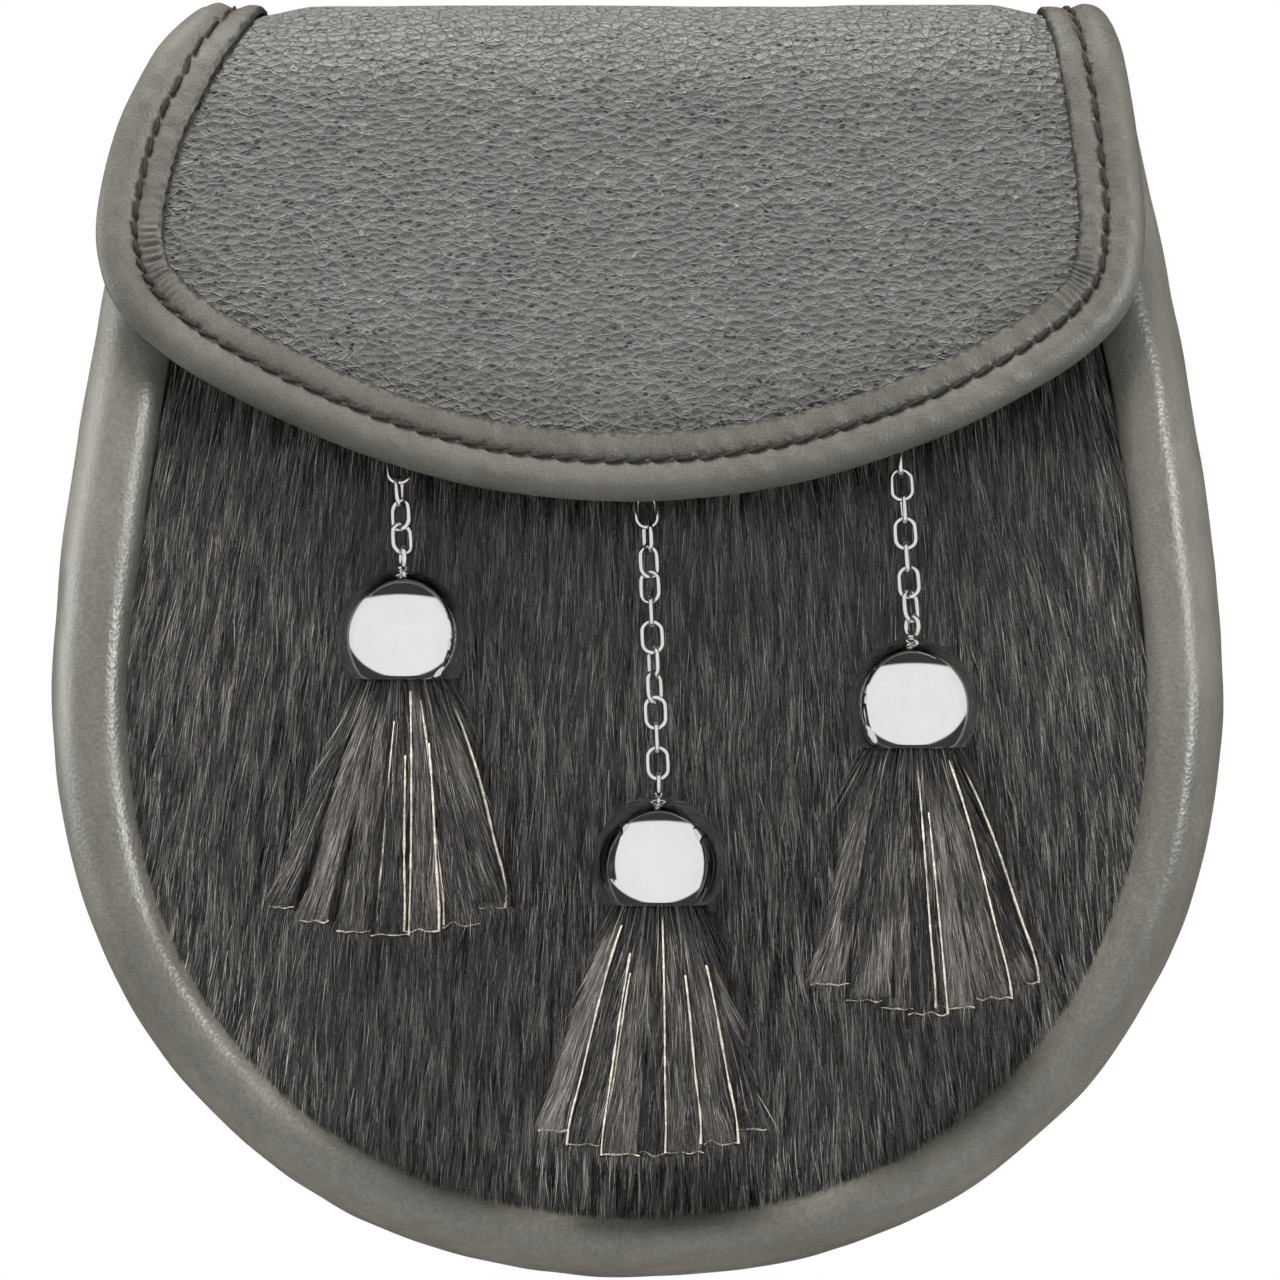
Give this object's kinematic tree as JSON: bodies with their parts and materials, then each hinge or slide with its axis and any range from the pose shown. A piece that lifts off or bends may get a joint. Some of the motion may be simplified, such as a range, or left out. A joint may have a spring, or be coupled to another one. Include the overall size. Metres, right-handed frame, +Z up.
{
  "type": "sporran",
  "caption": "Round-bottomed day sporran pouch with a stitched flap, hair-on hide front, rolled leather gusset and chained tassels with chrome caps.",
  "frame": {"origin": "on the centre line of the strap, midway between the two belt loops behind the back panel", "axes": "+Z up as worn, the front of the pouch faces -Y, +X is to the right seen from in front"},
  "size_m": [0.1894, 0.0649, 0.2061],
  "materials": {
    "smooth_leather": "dark olive-grey smooth calf leather, semi-gloss",
    "grained_leather": "dark grey pebble-grained leather, satin",
    "hair_hide": "short black-brown hair-on hide",
    "chrome_trim": "polished chrome plate"
  },
  "bodies": {
    "root": {"back_panel": "smooth_leather", "gusset": "smooth_leather", "front_panel": "hair_hide", "flap": "grained_leather", "flap_binding": "smooth_leather", "snap_stud": "chrome_trim", "belt_loop_left": "smooth_leather", "belt_loop_right": "smooth_leather", "chain_staple_left": "chrome_trim", "chain_left_link_1": "chrome_trim", "chain_left_link_2": "chrome_trim", "chain_left_link_3": "chrome_trim", "chain_left_link_4": "chrome_trim", "chain_left_link_5": "chrome_trim", "chain_left_link_6": "chrome_trim", "cap_eye_left": "chrome_trim", "tassel_cap_left": "chrome_trim", "tassel_left": "hair_hide", "chain_staple_middle": "chrome_trim", "chain_middle_link_1": "chrome_trim", "chain_middle_link_2": "chrome_trim", "chain_middle_link_3": "chrome_trim", "chain_middle_link_4": "chrome_trim", "chain_middle_link_5": "chrome_trim", "chain_middle_link_6": "chrome_trim", "chain_middle_link_7": "chrome_trim", "chain_middle_link_8": "chrome_trim", "chain_middle_link_9": "chrome_trim", "chain_middle_link_10": "chrome_trim", "chain_middle_link_11": "chrome_trim", "chain_middle_link_12": "chrome_trim", "chain_middle_link_13": "chrome_trim", "cap_eye_middle": "chrome_trim", "tassel_cap_middle": "chrome_trim", "tassel_middle": "hair_hide", "chain_staple_right": "chrome_trim", "chain_right_link_1": "chrome_trim", "chain_right_link_2": "chrome_trim", "chain_right_link_3": "chrome_trim", "chain_right_link_4": "chrome_trim", "chain_right_link_5": "chrome_trim", "chain_right_link_6": "chrome_trim", "chain_right_link_7": "chrome_trim", "chain_right_link_8": "chrome_trim", "cap_eye_right": "chrome_trim", "tassel_cap_right": "chrome_trim", "tassel_right": "hair_hide"}
  },
  "joints": []
}
